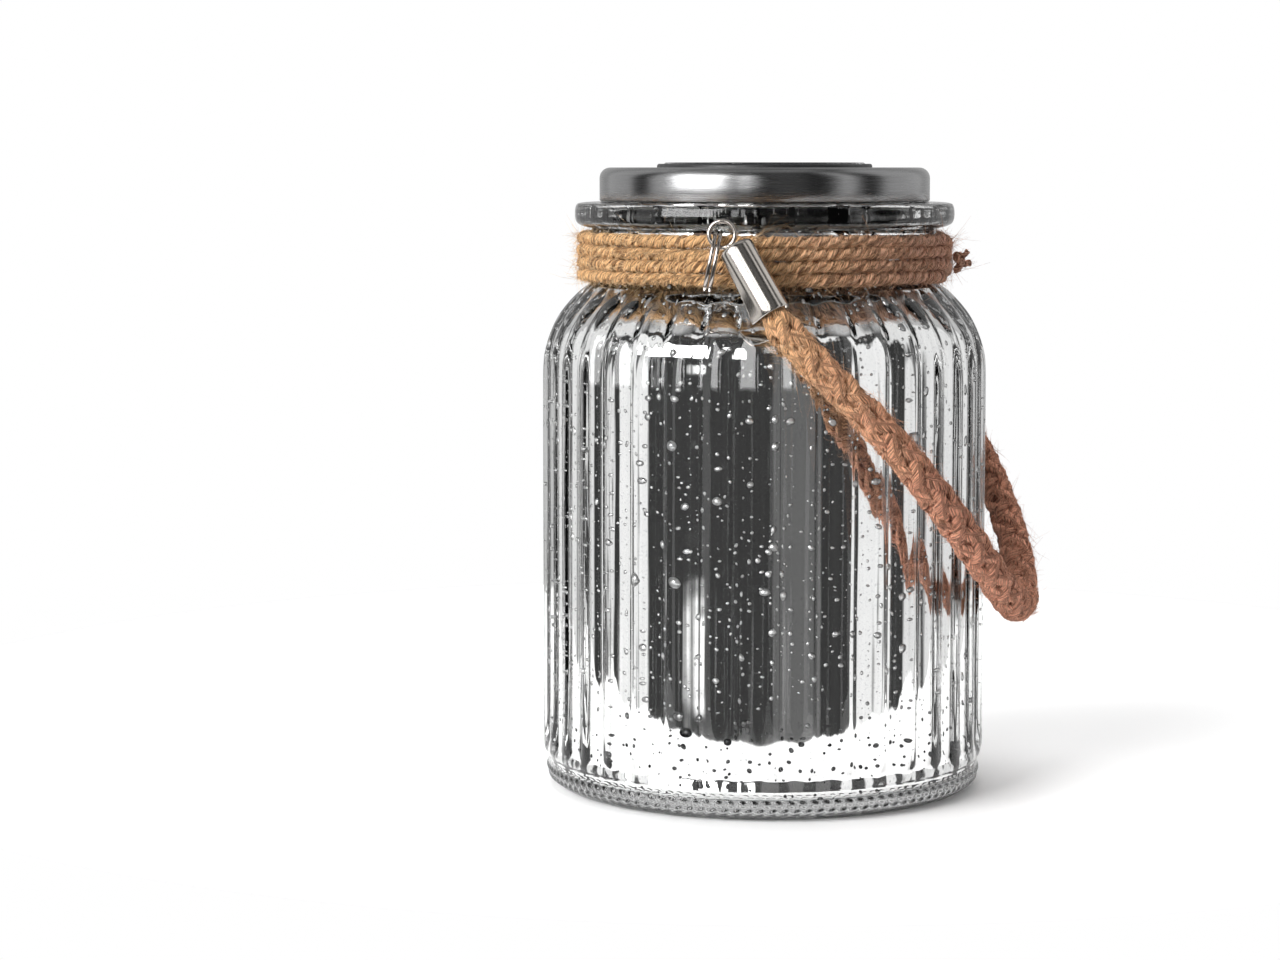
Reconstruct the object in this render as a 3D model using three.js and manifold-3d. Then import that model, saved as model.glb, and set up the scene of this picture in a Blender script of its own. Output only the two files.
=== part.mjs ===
// Fluted glass jar lantern with a solar lid and a swinging rope handle.
// Millimetres, +Z up. The origin is the centre of the jar's flat base, on the jar's axis.
// The handle swings about a line along Y, and rests leaning down on the +X side.
import * as THREE from 'three';
import { mergeVertices } from 'three/addons/utils/BufferGeometryUtils.js';
import Module from 'manifold-3d';

const wasm = await Module();
wasm.setup();

// ---------- driving dimensions ----------
const GAP = 0.3; // left between pieces that touch on the real object
const TAU = Math.PI * 2;
const DEG = Math.PI / 180;

// glass jar
const JAR_R = 48.3; // crest of the flutes
const FLUTES = 36;
const FLUTE_DEPTH = 1.3;
const WALL = 3.3;
const FLOOR_T = 4;
const NECK_R = 37.4;
const BEAD_R = 41.1;
const BEAD_TOP = 127.1;
const FINISH_R = 32.6;
const MOUTH_R = 29.5;
const RIM_Z = 131;
const THREAD_R = 0.8; // size of the glass thread's ridge

// twine round the neck
const TWINE_D = 2.35;
const TWINE_TURNS = 4;
const TWINE_PITCH = 2.4;
const TWINE_R = 39.3; // middle of the twine, from the jar's axis
const TWINE_RIDE = 1.55; // how far it stands out where it rides over a ring's back wire
const RIDE_FLAT = 8 * DEG; // it stands fully out this far to each side of a ring
const RIDE_END = 21 * DEG; // and lies on the neck again from here
const TWINE_TOP_Z = 118.7; // middle of the highest turn
const TWINE_STEP = 30 * DEG; // the part of a turn in which the twine steps down to the next level
const KNOT_AT = 9 * DEG; // polar angle of the knot and of the steps behind it
const KNOT = { half: [1.5, 2.1, 2.6], z: 114.4 };

// handle, its rings and its rope
const PIVOT = { y: 45, z: 121 }; // the handle's eyes, at each side
const RING = { y: 42.6, z: 115.4, x: -2.4, high: 6.1, deep: 4.2, wire: 0.9 };
const RING_TURNS = { lean: 11.3 * DEG, yaw: 11 * DEG, tip: 4 * DEG }; // about Y, Z and X
const EYE = { r: 2.7, wire: 0.93 };
const FERRULE = { r: 3.6, wall: 0.35, length: 16.2, shoulder: 1.2, start: 3.5, beside: 1.3, y: 46.2 };
const FERRULE_TILT = 32 * DEG; // from straight down, towards +X
const FERRULE_OUT = 2.4; // how much further out its mouth is than its top
const ROPE_R = 3.7;
const ROPE_END_R = 2.85; // squeezed inside the ferrule
const ROPE_STRAIGHT = 2.5; // leaves the ferrule in line with it
// Half of the rope's hanging line: x, distance from the middle plane, drop below the pivot.
const ROPE_LINE = [
  [17.6, 49.2, 23.2],
  [25.0, 48.8, 30.6],
  [34.8, 45.6, 41.2],
  [42.9, 39.4, 52.4],
  [49.2, 30.6, 63.2],
  [54.0, 18.4, 73.6],
  [56.0, 6.4, 79.4],
];

// solar lid
const CAP = { r: 35.75, bottom: 127.5, top: 134.5, sheet: 0.6, edge: 1.2, hole: 23.9 };
const LINER = { r: 34.85, inner: 34.4, ridge: 0.5 };
const HOUSING = { r: 27.5, wall: 1.5, bottom: 114.3, ceiling: 132.6, flange: 32.4, flangeTop: 133.5 };
const BOSS = { r: 23.3, recess: 22, floor: 133.9, top: 135.3 };
const GASKET = { inner: 29.7, outer: 32.2, bottom: RIM_Z + GAP, height: 0.8 };
const CELL = { half: 15, z: 134.2, thick: 0.3 };
const WINDOW = { r: 21.7, bottom: 134.8, top: 135.6 };
const BOARD = { r: 24.6, bottom: 128.9, thick: 1.2 };
const WIRE_HOLE = { x: 9, y: 2.2, r: 0.9 };
const CONTACT = { thick: 0.4, wide: 8, high: 9, coil: 3.2 };
const BATTERY = { r: 5.15, z: 122.6, from: -21, to: 23.3, nub: 1.2 };
const COVER = { r: 27.5, bottom: 112.6, thick: 1.4 };
const DOOR = { long: 44.4, wide: 11.4, tab: 8, tabOut: 7.3, bottom: 111.4, lip: 0.9 };
const OPENING_CLEAR = 0.35;
const SCREW = { head: 1.8, headHigh: 0.7, shank: 1 };
const COVER_SCREW = { r: 22.9, angle: 60 * DEG, long: 8 };
const DOOR_SCREW_Y = -9.6;
const LED = { r: 2.5, rim: 2.9, x: 15, y: 12, tip: 108.6 };
const SWITCH = { y: 17.5, long: 10, wide: 5, high: 4, knob: 2.4, travel: 3, knobFoot: 110.9 };

// ---------- helpers ----------
const v2 = ([x, y]) => new THREE.Vector2(x, y);
const v3 = ([x, y, z]) => new THREE.Vector3(x, y, z);

function bare(geometry) {
  geometry.deleteAttribute('normal');
  geometry.deleteAttribute('uv');
  return mergeVertices(geometry, 1e-4);
}

// A profile of [radius, height] pairs, anticlockwise seen with the axis on the left.
function lathe(profile, segments = 32) {
  const geometry = new THREE.LatheGeometry(profile.map(v2), segments);
  geometry.rotateX(Math.PI / 2);
  return bare(geometry);
}

function ring(inner, outer, low, high, segments) {
  return lathe([[inner, low], [outer, low], [outer, high], [inner, high], [inner, low]], segments);
}

function disc(r, low, high, segments) {
  return lathe([[0, low], [r, low], [r, high], [0, high]], segments);
}

function box(long, wide, high, x, y, z) {
  const geometry = new THREE.BoxGeometry(long, wide, high);
  geometry.translate(x, y, z + high / 2);
  return bare(geometry);
}

function plate(shape, low, high) {
  const geometry = new THREE.ExtrudeGeometry(shape, { depth: high - low, bevelEnabled: false });
  geometry.translate(0, 0, low);
  return bare(geometry);
}

function tube(curve, radius, steps, sides) {
  const corner = (i) => [radius * Math.cos((i * TAU) / sides), radius * Math.sin((i * TAU) / sides)];
  const section = new THREE.Shape(Array.from({ length: sides }, (_, i) => v2(corner(i))));
  return bare(new THREE.ExtrudeGeometry(section, { steps, extrudePath: curve, bevelEnabled: false }));
}

class FormulaCurve extends THREE.Curve {
  constructor(place) {
    super();
    this.place = place;
  }

  getPoint(t, target = new THREE.Vector3()) {
    return target.copy(v3(this.place(t)));
  }
}

function toSolid(geometry) {
  const vertProperties = new Float32Array(geometry.attributes.position.array);
  const triVerts = new Uint32Array(geometry.index.array);
  return new wasm.Manifold(new wasm.Mesh({ numProp: 3, vertProperties, triVerts }));
}

function toGeometry(solid) {
  const mesh = solid.getMesh();
  const geometry = new THREE.BufferGeometry();
  geometry.setAttribute('position', new THREE.BufferAttribute(new Float32Array(mesh.vertProperties), 3));
  geometry.setIndex(new THREE.BufferAttribute(new Uint32Array(mesh.triVerts), 1));
  return geometry;
}

const join = (first, ...others) =>
  toGeometry(others.reduce((whole, part) => whole.add(toSolid(part)), toSolid(first)));

const cut = (first, ...others) =>
  toGeometry(others.reduce((whole, part) => whole.subtract(toSolid(part)), toSolid(first)));

const paint = (color, roughness, metalness) =>
  new THREE.MeshStandardMaterial({ color, roughness, metalness });

const MATERIALS = {
  glass: () => paint(0xdfe4e4, 0.05, 0.1),
  jute: () => paint(0xb5854f, 0.95, 0),
  nickel: () => paint(0xb9b3aa, 0.2, 1),
  steel: () => paint(0xa9abad, 0.35, 1),
  blackPlastic: () => paint(0x17181a, 0.5, 0),
  whitePlastic: () => paint(0xe8e8e2, 0.45, 0),
  rubber: () => paint(0xd9d6cc, 0.8, 0),
  cell: () => paint(0x151b33, 0.3, 0.2),
  clear: () => paint(0x3a3f48, 0.08, 0),
  board: () => paint(0x1f5c36, 0.5, 0),
  batteryWrap: () => paint(0x2f7d4a, 0.4, 0.1),
  lens: () => paint(0xf2ead2, 0.15, 0),
  redWire: () => paint(0xb4231f, 0.5, 0),
  blackWire: () => paint(0x1c1c1c, 0.5, 0),
};

const part = new THREE.Group();

function add(name, geometry, material, place) {
  const mesh = new THREE.Mesh(geometry, MATERIALS[material]());
  mesh.name = name;
  if (place) place(mesh);
  part.add(mesh);
}

function helix(radius, low, high, from, to) {
  return new FormulaCurve((t) => {
    const a = from + (to - from) * t;
    return [radius * Math.cos(a), radius * Math.sin(a), low + (high - low) * t];
  });
}

// ---------- glass ----------
// Each point of the outside is [radius, height, share of the full flute depth].
const JAR_OUTSIDE = [
  [0, 0, 0],
  [44.2, 0, 0],
  [46.6, 1.8, 0],
  [47, 5.6, 0],
  [JAR_R - 0.2, 8, 0.15],
  [JAR_R, 12, 1],
  [JAR_R, 90, 1],
  [47.9, 94.8, 1],
  [46.6, 98.9, 1],
  [44.9, 102.4, 0.95],
  [42.6, 105.4, 0.85],
  [39.6, 108.6, 0.5],
  [NECK_R, 109.2, 0],
  [NECK_R, 121.5, 0],
  [BEAD_R - 1.2, 122.1, 0],
  [BEAD_R, 123.1, 0],
  [BEAD_R, 126, 0],
  [BEAD_R - 1, BEAD_TOP, 0],
  [FINISH_R, BEAD_TOP, 0],
  [FINISH_R, RIM_Z, 0],
];
const JAR_INSIDE = [
  [MOUTH_R, RIM_Z, 0],
  [MOUTH_R, 127, 0],
  [34, 121, 0],
  [34, 110.5, 0],
  [41, 101, 0],
  [JAR_R - WALL, 90.5, 0],
  [JAR_R - WALL, 10, 0],
  [40.5, FLOOR_T, 0],
  [0, FLOOR_T, 0],
];

// The valleys of the flutes lie half a pitch off the front, so that a crest faces forward.
function flutedJar() {
  const rows = [...JAR_OUTSIDE, ...JAR_INSIDE];
  const segments = FLUTES * 2;
  const geometry = new THREE.LatheGeometry(rows.map(v2), segments);
  const place = geometry.attributes.position;
  for (let i = 0; i < place.count; i += 1) {
    const [radius, , share] = rows[i % rows.length];
    const valley = Math.floor(i / rows.length) % 2;
    const scale = radius ? 1 - (valley * share * FLUTE_DEPTH) / radius : 1;
    place.setX(i, place.getX(i) * scale);
    place.setZ(i, place.getZ(i) * scale);
  }
  geometry.rotateX(Math.PI / 2);
  return bare(geometry);
}

function glassJar() {
  const thread = tube(helix(FINISH_R - 0.1, 128.4, 129.7, 0, 320 * DEG), THREAD_R, 24, 4);
  add('glass_jar', join(flutedJar(), thread), 'glass');
}

// ---------- twine ----------
const smooth = (x) => {
  const t = Math.min(1, Math.max(0, x));
  return t * t * (3 - 2 * t);
};

// The turns stay level, and step down behind the knot.
function twinePlace(t) {
  const a = TWINE_STEP / 2 + t * (TWINE_TURNS * TAU - TWINE_STEP);
  const turn = Math.floor((a + TAU / 2) / TAU);
  const level = turn - 1 + smooth((a - turn * TAU + TWINE_STEP / 2) / TWINE_STEP);
  const polar = a + KNOT_AT;
  const fromRing = Math.asin(Math.abs(Math.cos(polar)));
  const radius = TWINE_R + TWINE_RIDE * (1 - smooth((fromRing - RIDE_FLAT) / (RIDE_END - RIDE_FLAT)));
  return [radius * Math.cos(polar), radius * Math.sin(polar), TWINE_TOP_Z - TWINE_PITCH * level];
}

function neckTwine() {
  add('neck_twine', tube(new FormulaCurve(twinePlace), TWINE_D / 2, 176, 6), 'jute');
}

function twineKnot() {
  const ball = new THREE.SphereGeometry(1, 10, 6);
  ball.scale(...KNOT.half);
  const out = TWINE_R + TWINE_D / 2 + GAP + KNOT.half[0];
  add('twine_knot', bare(ball), 'jute', (mesh) => {
    mesh.position.set(out * Math.cos(KNOT_AT), out * Math.sin(KNOT_AT), KNOT.z);
    mesh.rotation.z = KNOT_AT;
  });
}

// ---------- handle ----------
// A flat double coil: each turn lies in its own plane, and the wire crosses over at the low back.
// Its inner side, which lies against the neck, is squarer than its outer side.
function splitRing(name, side) {
  const cross = 24 * DEG;
  const open = 30 * DEG;
  const apart = RING.wire / 2 + 0.06;
  const curve = new FormulaCurve((t) => {
    const a = open + t * (2 * TAU - 2 * open);
    const level = 2 * smooth((a - TAU + cross) / (2 * cross)) - 1;
    const [c, s] = [Math.cos(a - 120 * DEG), Math.sin(a - 120 * DEG)];
    const power = c < 0 ? 4 : 2;
    const r = (Math.abs(c / RING.deep) ** power + Math.abs(s / RING.high) ** power) ** (-1 / power);
    return [level * apart, r * c, r * s];
  });
  const { lean, yaw, tip } = RING_TURNS;
  add(name, tube(curve, RING.wire / 2, 48, 5), 'nickel', (mesh) => {
    mesh.position.set(RING.x, side * RING.y, RING.z);
    mesh.rotation.set(-tip, lean, side < 0 ? Math.PI + yaw : -yaw, 'YZX');
  });
}

// The ferrule's own frame: its top centre is the origin and its mouth is down.
function ferruleFrame(side) {
  const along = [Math.sin(FERRULE_TILT), -Math.cos(FERRULE_TILT)];
  const across = [Math.cos(FERRULE_TILT), Math.sin(FERRULE_TILT)];
  const top = v3([
    FERRULE.start * along[0] + FERRULE.beside * across[0],
    side * FERRULE.y,
    PIVOT.z + FERRULE.start * along[1] + FERRULE.beside * across[1],
  ]);
  const aim = v3([FERRULE.length * along[0], side * FERRULE_OUT, FERRULE.length * along[1]]).normalize();
  const turn = new THREE.Quaternion().setFromUnitVectors(v3([0, 0, -1]), aim);
  return { top, aim, turn };
}

// Where the eye's stem passes through the ferrule's top, in the ferrule's own frame.
function stemPlace(side) {
  const { top, turn } = ferruleFrame(side);
  const stem = v3([0, side * PIVOT.y, PIVOT.z]).sub(top).applyQuaternion(turn.clone().invert());
  return [stem.x, stem.y];
}

function ferrule(name, side) {
  const { top, turn } = ferruleFrame(side);
  const { r, wall, length, shoulder } = FERRULE;
  const cup = lathe([
    [0, -wall],
    [r - wall - 0.9, -wall],
    [r - wall, -wall - 0.9],
    [r - wall, -length],
    [r, -length],
    [r, -shoulder],
    [r - 0.35, -0.35],
    [r - shoulder, 0],
    [0, 0],
  ], 18);
  const hole = disc(EYE.wire / 2 + GAP, -2 * wall, wall, 8);
  hole.translate(...stemPlace(side), 0);
  add(name, cut(cup, hole), 'nickel', (mesh) => {
    mesh.position.copy(top);
    mesh.quaternion.copy(turn);
  });
}

function handleEye(name, side) {
  const { aim } = ferruleFrame(side);
  const down = FERRULE.start + FERRULE.wall;
  const loop = new THREE.TorusGeometry(EYE.r, EYE.wire / 2, 6, 16);
  loop.rotateX(Math.PI / 2);
  const stem = disc(EYE.wire / 2, -down - 0.7, -EYE.r, 6);
  const head = disc(0.9, -down - 0.9, -down - 0.4, 8);
  const turn = new THREE.Quaternion().setFromUnitVectors(v3([0, 0, -1]), aim);
  stem.applyQuaternion(turn);
  head.applyQuaternion(turn);
  add(name, join(bare(loop), stem, head), 'nickel', (mesh) => mesh.position.set(0, side * PIVOT.y, PIVOT.z));
}

function handleRope() {
  const ends = [-1, 1].map((side) => {
    const { top, aim } = ferruleFrame(side);
    const mouth = top.clone().addScaledVector(aim, FERRULE.length + GAP);
    return { aim, mouth, straight: mouth.clone().addScaledVector(aim, ROPE_STRAIGHT) };
  });
  const half = (side) => ROPE_LINE.map(([x, y, drop]) => v3([x, side * y, PIVOT.z - drop]));
  const [front, back] = ends;
  const points = [front.mouth, front.straight, ...half(-1)];
  points.push(...half(1).reverse(), back.straight, back.mouth);
  const rope = tube(new THREE.CatmullRomCurve3(points, false, 'centripetal'), ROPE_R, 46, 8);
  const stubs = ends.map(({ aim, mouth }) => {
    const stub = disc(ROPE_END_R, -1, 10, 8);
    stub.applyQuaternion(new THREE.Quaternion().setFromUnitVectors(v3([0, 0, -1]), aim));
    stub.translate(mouth.x, mouth.y, mouth.z);
    return stub;
  });
  add('handle_rope', join(rope, ...stubs), 'jute');
}

// ---------- solar lid ----------
function lidCover() {
  const { r, bottom, top, sheet, edge, hole } = CAP;
  const bend = (radius, i) => {
    const a = (i * Math.PI) / 8;
    return [r - edge + radius * Math.cos(a), top - edge + radius * Math.sin(a)];
  };
  const outer = [0, 1, 2, 3, 4].map((i) => bend(edge, i));
  const inner = [4, 0].map((i) => bend(edge - sheet, i));
  add('lid_cover', lathe([[r, bottom], ...outer, [hole, top], [hole, top - sheet], ...inner,
    [r - sheet, bottom], [r, bottom]], 40), 'steel');
}

function threadLiner() {
  const top = CAP.top - CAP.sheet - GAP;
  const sleeve = ring(LINER.inner, LINER.r, CAP.bottom + GAP, top - 0.6, 40);
  const thread = tube(helix(LINER.inner + 0.05, 128.6, 129.9, 30 * DEG, 300 * DEG), LINER.ridge, 20, 4);
  add('thread_liner', join(sleeve, thread), 'whitePlastic');
}

function coverScrewPlaces() {
  return [1, -1].map((s) => [
    s * COVER_SCREW.r * Math.cos(COVER_SCREW.angle),
    s * COVER_SCREW.r * Math.sin(COVER_SCREW.angle),
  ]);
}

function solarHousing() {
  const { r, wall, bottom, ceiling, flange, flangeTop } = HOUSING;
  const shell = lathe([
    [0, ceiling],
    [r - wall, ceiling],
    [r - wall, bottom],
    [r, bottom],
    [r, ceiling - 0.2],
    [flange, ceiling - 0.2],
    [flange, flangeTop],
    [BOSS.r, flangeTop],
    [BOSS.r, BOSS.top - 0.4],
    [BOSS.r - 0.4, BOSS.top],
    [BOSS.recess, BOSS.top],
    [BOSS.recess, BOSS.floor],
    [0, BOSS.floor],
  ]);
  const posts = coverScrewPlaces().map(([x, y]) => disc(3.3, bottom, 123, 10).translate(x, y, 0));
  const pilots = coverScrewPlaces().map(([x, y]) =>
    disc(SCREW.shank + GAP, bottom - 1, 121.5, 8).translate(x, y, 0));
  const wireHoles = [-1, 1].map((s) =>
    disc(WIRE_HOLE.r, ceiling - 1, BOSS.floor + 1, 8).translate(WIRE_HOLE.x, s * WIRE_HOLE.y, 0));
  const whole = join(shell, ...posts);
  add('solar_housing', cut(whole, ...pilots, ...wireHoles), 'blackPlastic');
}

function rimGasket() {
  add('rim_gasket', ring(GASKET.inner, GASKET.outer, GASKET.bottom, GASKET.bottom + GASKET.height), 'rubber');
}

function solarCell() {
  add('solar_cell', box(2 * CELL.half, 2 * CELL.half, CELL.thick, 0, 0, CELL.z), 'cell');
}

function panelWindow() {
  const { r, bottom, top } = WINDOW;
  add('panel_window', lathe([[0, bottom], [r, bottom], [r, top - 0.3], [r - 0.5, top], [0, top]]), 'clear');
}

function circuitBoard() {
  add('circuit_board', disc(BOARD.r, BOARD.bottom, BOARD.bottom + BOARD.thick), 'board');
}

function panelWires() {
  for (const [name, side] of [['wire_red', -1], ['wire_black', 1]]) {
    const points = [
      [WIRE_HOLE.x, side * WIRE_HOLE.y, CELL.z - 0.35],
      [WIRE_HOLE.x, side * WIRE_HOLE.y, 132.4],
      [WIRE_HOLE.x + 1.2, side * (WIRE_HOLE.y + 0.5), 131.4],
      [WIRE_HOLE.x + 4.5, side * (WIRE_HOLE.y + 2.2), 131.3],
      [WIRE_HOLE.x + 5.8, side * (WIRE_HOLE.y + 2.9), BOARD.bottom + BOARD.thick + 0.35],
    ];
    const curve = new THREE.CatmullRomCurve3(points.map(v3), false, 'centripetal');
    add(name, tube(curve, 0.45, 12, 5), name === 'wire_red' ? 'redWire' : 'blackWire');
  }
}

function battery() {
  const { r, z, from, to, nub } = BATTERY;
  const can = lathe([
    [0, from],
    [r - 0.4, from],
    [r, from + 0.4],
    [r, to - nub - 0.6],
    [r - 0.6, to - nub],
    [1.9, to - nub],
    [1.9, to],
    [0, to],
  ], 16);
  can.rotateY(Math.PI / 2);
  add('battery', can.translate(0, 0, z), 'batteryWrap');
}

function contacts() {
  const { thick, wide, high, coil: coilRadius } = CONTACT;
  const low = BATTERY.z - high / 2;
  add('contact_flat', box(thick, wide, high, BATTERY.to + GAP + thick / 2, 0, low), 'nickel');
  const back = BATTERY.from - 3.2;
  const coil = new FormulaCurve((t) => {
    const a = t * 3 * TAU;
    const radius = coilRadius - 1.4 * t;
    return [back + 0.1 + 2.5 * t, radius * Math.cos(a), BATTERY.z + radius * Math.sin(a)];
  });
  const foot = box(thick, wide, high, back, 0, low);
  add('contact_spring', join(foot, tube(coil, 0.3, 30, 4)), 'nickel');
}

function rectangle(long, wide, x = 0, y = 0, Kind = THREE.Shape) {
  const [a, b] = [long / 2, wide / 2];
  return new Kind([[x - a, y - b], [x + a, y - b], [x + a, y + b], [x - a, y + b]].map(v2));
}

function round(x, y, r, sides, Kind = THREE.Path) {
  const corner = (i) => [x + r * Math.cos((i * TAU) / sides), y + r * Math.sin((i * TAU) / sides)];
  return new Kind(Array.from({ length: sides }, (_, i) => v2(corner(i))));
}

function ledPlaces() {
  return [[1, 1], [-1, 1], [-1, -1], [1, -1]].map(([i, j]) => [i * LED.x, j * LED.y]);
}

function baseCover() {
  const shape = round(0, 0, COVER.r, 36, THREE.Shape);
  const clear = 2 * OPENING_CLEAR;
  shape.holes.push(rectangle(DOOR.long + clear, DOOR.wide + clear, 0, 0, THREE.Path));
  shape.holes.push(rectangle(SWITCH.knob + SWITCH.travel + 1, SWITCH.knob + clear, 0, SWITCH.y, THREE.Path));
  for (const [x, y] of ledPlaces()) shape.holes.push(round(x, y, LED.r + GAP, 12));
  for (const [x, y] of coverScrewPlaces()) shape.holes.push(round(x, y, SCREW.shank + GAP, 8));
  shape.holes.push(round(0, DOOR_SCREW_Y, SCREW.shank + GAP, 8));
  add('base_cover', plate(shape, COVER.bottom, COVER.bottom + COVER.thick), 'blackPlastic');
}

function batteryDoor() {
  const panel = plate(rectangle(DOOR.long, DOOR.wide), DOOR.bottom, COVER.bottom + COVER.thick - 0.4);
  const reach = DOOR.wide / 2 + DOOR.tabOut;
  const flap = rectangle(DOOR.tab, reach, 0, -reach / 2);
  flap.holes.push(round(0, DOOR_SCREW_Y, SCREW.shank + GAP, 8));
  add('battery_door', join(panel, plate(flap, DOOR.bottom, DOOR.bottom + DOOR.lip)), 'blackPlastic');
}

// The head's flat underside is at the height given, and the shank goes up from it.
function screw(name, x, y, seat, long) {
  const { head, headHigh, shank } = SCREW;
  const low = seat - headHigh;
  const profile = [
    [0, low],
    [head - 0.5, low],
    [head, low + 0.4],
    [head, seat],
    [shank, seat],
    [shank, seat + long - 0.8],
    [0.2, seat + long],
    [0, seat + long],
  ];
  const slots = [0, Math.PI / 2].map((a) => box(2.2, 0.45, 0.35, 0, 0, low - 0.05).rotateZ(a));
  const whole = cut(lathe(profile, 10), ...slots);
  add(name, whole.translate(x, y, 0), 'steel');
}

function screws() {
  coverScrewPlaces().forEach(([x, y], i) =>
    screw(`cover_screw_${i + 1}`, x, y, COVER.bottom - GAP, COVER_SCREW.long));
  screw('door_screw', 0, DOOR_SCREW_Y, DOOR.bottom - GAP, 4.5);
}

function lamps() {
  const seat = COVER.bottom + COVER.thick + GAP;
  const dome = [0, 1, 2, 3].map((i) => {
    const a = (i * Math.PI) / 6;
    return [LED.r * Math.sin(a), LED.tip + LED.r * (1 - Math.cos(a))];
  });
  const body = lathe([...dome, [LED.r, seat], [LED.rim, seat], [LED.rim, seat + 1], [0, seat + 1]], 10);
  const legs = [-1, 1].map((s) =>
    box(0.5, 0.5, BOARD.bottom - GAP - seat - 0.5, s * 1.27, 0, seat + 0.5));
  ledPlaces().forEach(([x, y], i) => {
    const lamp = join(body, ...legs);
    add(`led_${i + 1}`, lamp, 'lens', (mesh) => mesh.position.set(x, y, 0));
  });
}

function slideSwitch() {
  const { y, long, wide, high, knob, travel, knobFoot } = SWITCH;
  const low = COVER.bottom + COVER.thick + GAP;
  const pocket = box(knob + travel + 1, knob + 0.7, 1.6, 0, y, low - 0.1);
  add('switch_body', cut(box(long, wide, high, 0, y, low), pocket), 'blackPlastic');
  add('switch_slider', box(knob, knob, low + 1.1 - knobFoot, -travel / 2, y, knobFoot), 'whitePlastic');
}

// ---------- assembly ----------
glassJar();
neckTwine();
twineKnot();
splitRing('split_ring_front', -1);
splitRing('split_ring_back', 1);
handleEye('eye_front', -1);
handleEye('eye_back', 1);
ferrule('ferrule_front', -1);
ferrule('ferrule_back', 1);
handleRope();
lidCover();
threadLiner();
solarHousing();
rimGasket();
solarCell();
panelWindow();
circuitBoard();
panelWires();
battery();
contacts();
baseCover();
batteryDoor();
screws();
lamps();
slideSwitch();

export default part;
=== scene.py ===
"""Fluted glass jar lantern with a solar lid and a rope handle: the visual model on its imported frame.

Metres, +Z up. The lengths below are in millimetres where the name of a list or function says mm.
"""

import math

import bpy
import numpy as np
from mathutils import Matrix, Vector


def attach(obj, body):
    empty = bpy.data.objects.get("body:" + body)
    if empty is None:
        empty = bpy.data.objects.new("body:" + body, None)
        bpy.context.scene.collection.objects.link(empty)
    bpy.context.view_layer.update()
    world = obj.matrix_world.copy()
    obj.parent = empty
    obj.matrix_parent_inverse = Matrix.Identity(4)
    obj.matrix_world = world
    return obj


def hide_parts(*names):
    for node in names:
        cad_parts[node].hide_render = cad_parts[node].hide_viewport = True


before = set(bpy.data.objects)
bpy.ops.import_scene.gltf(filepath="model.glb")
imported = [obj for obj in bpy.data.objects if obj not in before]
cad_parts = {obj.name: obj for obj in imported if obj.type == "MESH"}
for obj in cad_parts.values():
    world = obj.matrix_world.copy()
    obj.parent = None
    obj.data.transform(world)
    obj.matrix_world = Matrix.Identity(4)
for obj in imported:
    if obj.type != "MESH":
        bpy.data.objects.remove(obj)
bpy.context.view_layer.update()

MM = 0.001
TAU = 2 * math.pi
DEGREE = TAU / 360
FRONT_AZIMUTH = 11 * DEGREE  # where the camera stands, from -Y towards +X
FRONT_SIN, FRONT_COS = math.sin(FRONT_AZIMUTH), math.cos(FRONT_AZIMUTH)


# ---- camera ----
CAMERA_DISTANCE = 0.676
CAMERA_HEIGHT = 0.135
AIM_LEFT = 0.027  # the jar stands right of the middle of the picture
AIM_HEIGHT = 0.0663
LENS = 87.2


def add_camera():
    data = bpy.data.cameras.new("camera")
    data.lens = LENS
    data.sensor_width = 36
    data.clip_start = 0.01
    camera = bpy.data.objects.new("camera", data)
    bpy.context.scene.collection.objects.link(camera)
    camera.location = (CAMERA_DISTANCE * FRONT_SIN, -CAMERA_DISTANCE * FRONT_COS, CAMERA_HEIGHT)
    aim = Vector((-AIM_LEFT * FRONT_COS, -AIM_LEFT * FRONT_SIN, AIM_HEIGHT))
    camera.rotation_euler = (aim - camera.location).to_track_quat("-Z", "Y").to_euler()
    bpy.context.scene.camera = camera


# ---- meshes ----
def add_mesh(name, points, faces, materials, face_materials=None):
    mesh = bpy.data.meshes.new(name)
    mesh.from_pydata(np.asarray(points).tolist(), [], [list(map(int, f)) for f in faces])
    for material in materials:
        mesh.materials.append(material)
    mesh.polygons.foreach_set("use_smooth", [True] * len(mesh.polygons))
    if face_materials is not None:
        mesh.polygons.foreach_set("material_index", np.asarray(face_materials, dtype=np.int32))
    mesh.update()
    piece = bpy.data.objects.new(name, mesh)
    bpy.context.scene.collection.objects.link(piece)
    return piece


def add_piece(name, points, faces, material, body, slot, *nodes, inner=None, face_materials=None):
    """A piece of the object, from points in millimetres. inner is its second material, if it has one."""
    materials = [material, inner] if inner else [material]
    piece = add_mesh(name, np.asarray(points) * MM, faces, materials, face_materials)
    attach(piece, body)
    if nodes:
        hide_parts(*nodes)
    return piece


def grid_faces(rows, columns, closed=False, start=0):
    """Quads between rings of points, one ring after another; closed joins the last ring to the first."""
    r, c = np.meshgrid(np.arange(rows if closed else rows - 1), np.arange(columns), indexing="ij")
    r2, c2 = (r + 1) % rows, (c + 1) % columns
    quads = np.stack([r * columns + c, r * columns + c2, r2 * columns + c2, r2 * columns + c], axis=-1)
    return (quads.reshape(-1, 4) + start).tolist()


def tube_faces(rings, sides, start=0, closed=False):
    """The quads of a tube, and one flat face at each end of an open one."""
    faces = grid_faces(rings, sides, closed, start)
    if not closed:
        last = start + (rings - 1) * sides
        faces.append([start + k for k in reversed(range(sides))])
        faces.append([last + k for k in range(sides)])
    return faces


def circle(sides):
    """The angles of that many points round a circle."""
    return np.arange(sides) * TAU / sides


def about_z(radius, angles, height):
    return np.stack([radius * np.cos(angles), radius * np.sin(angles), height + 0 * angles], 1)


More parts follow.
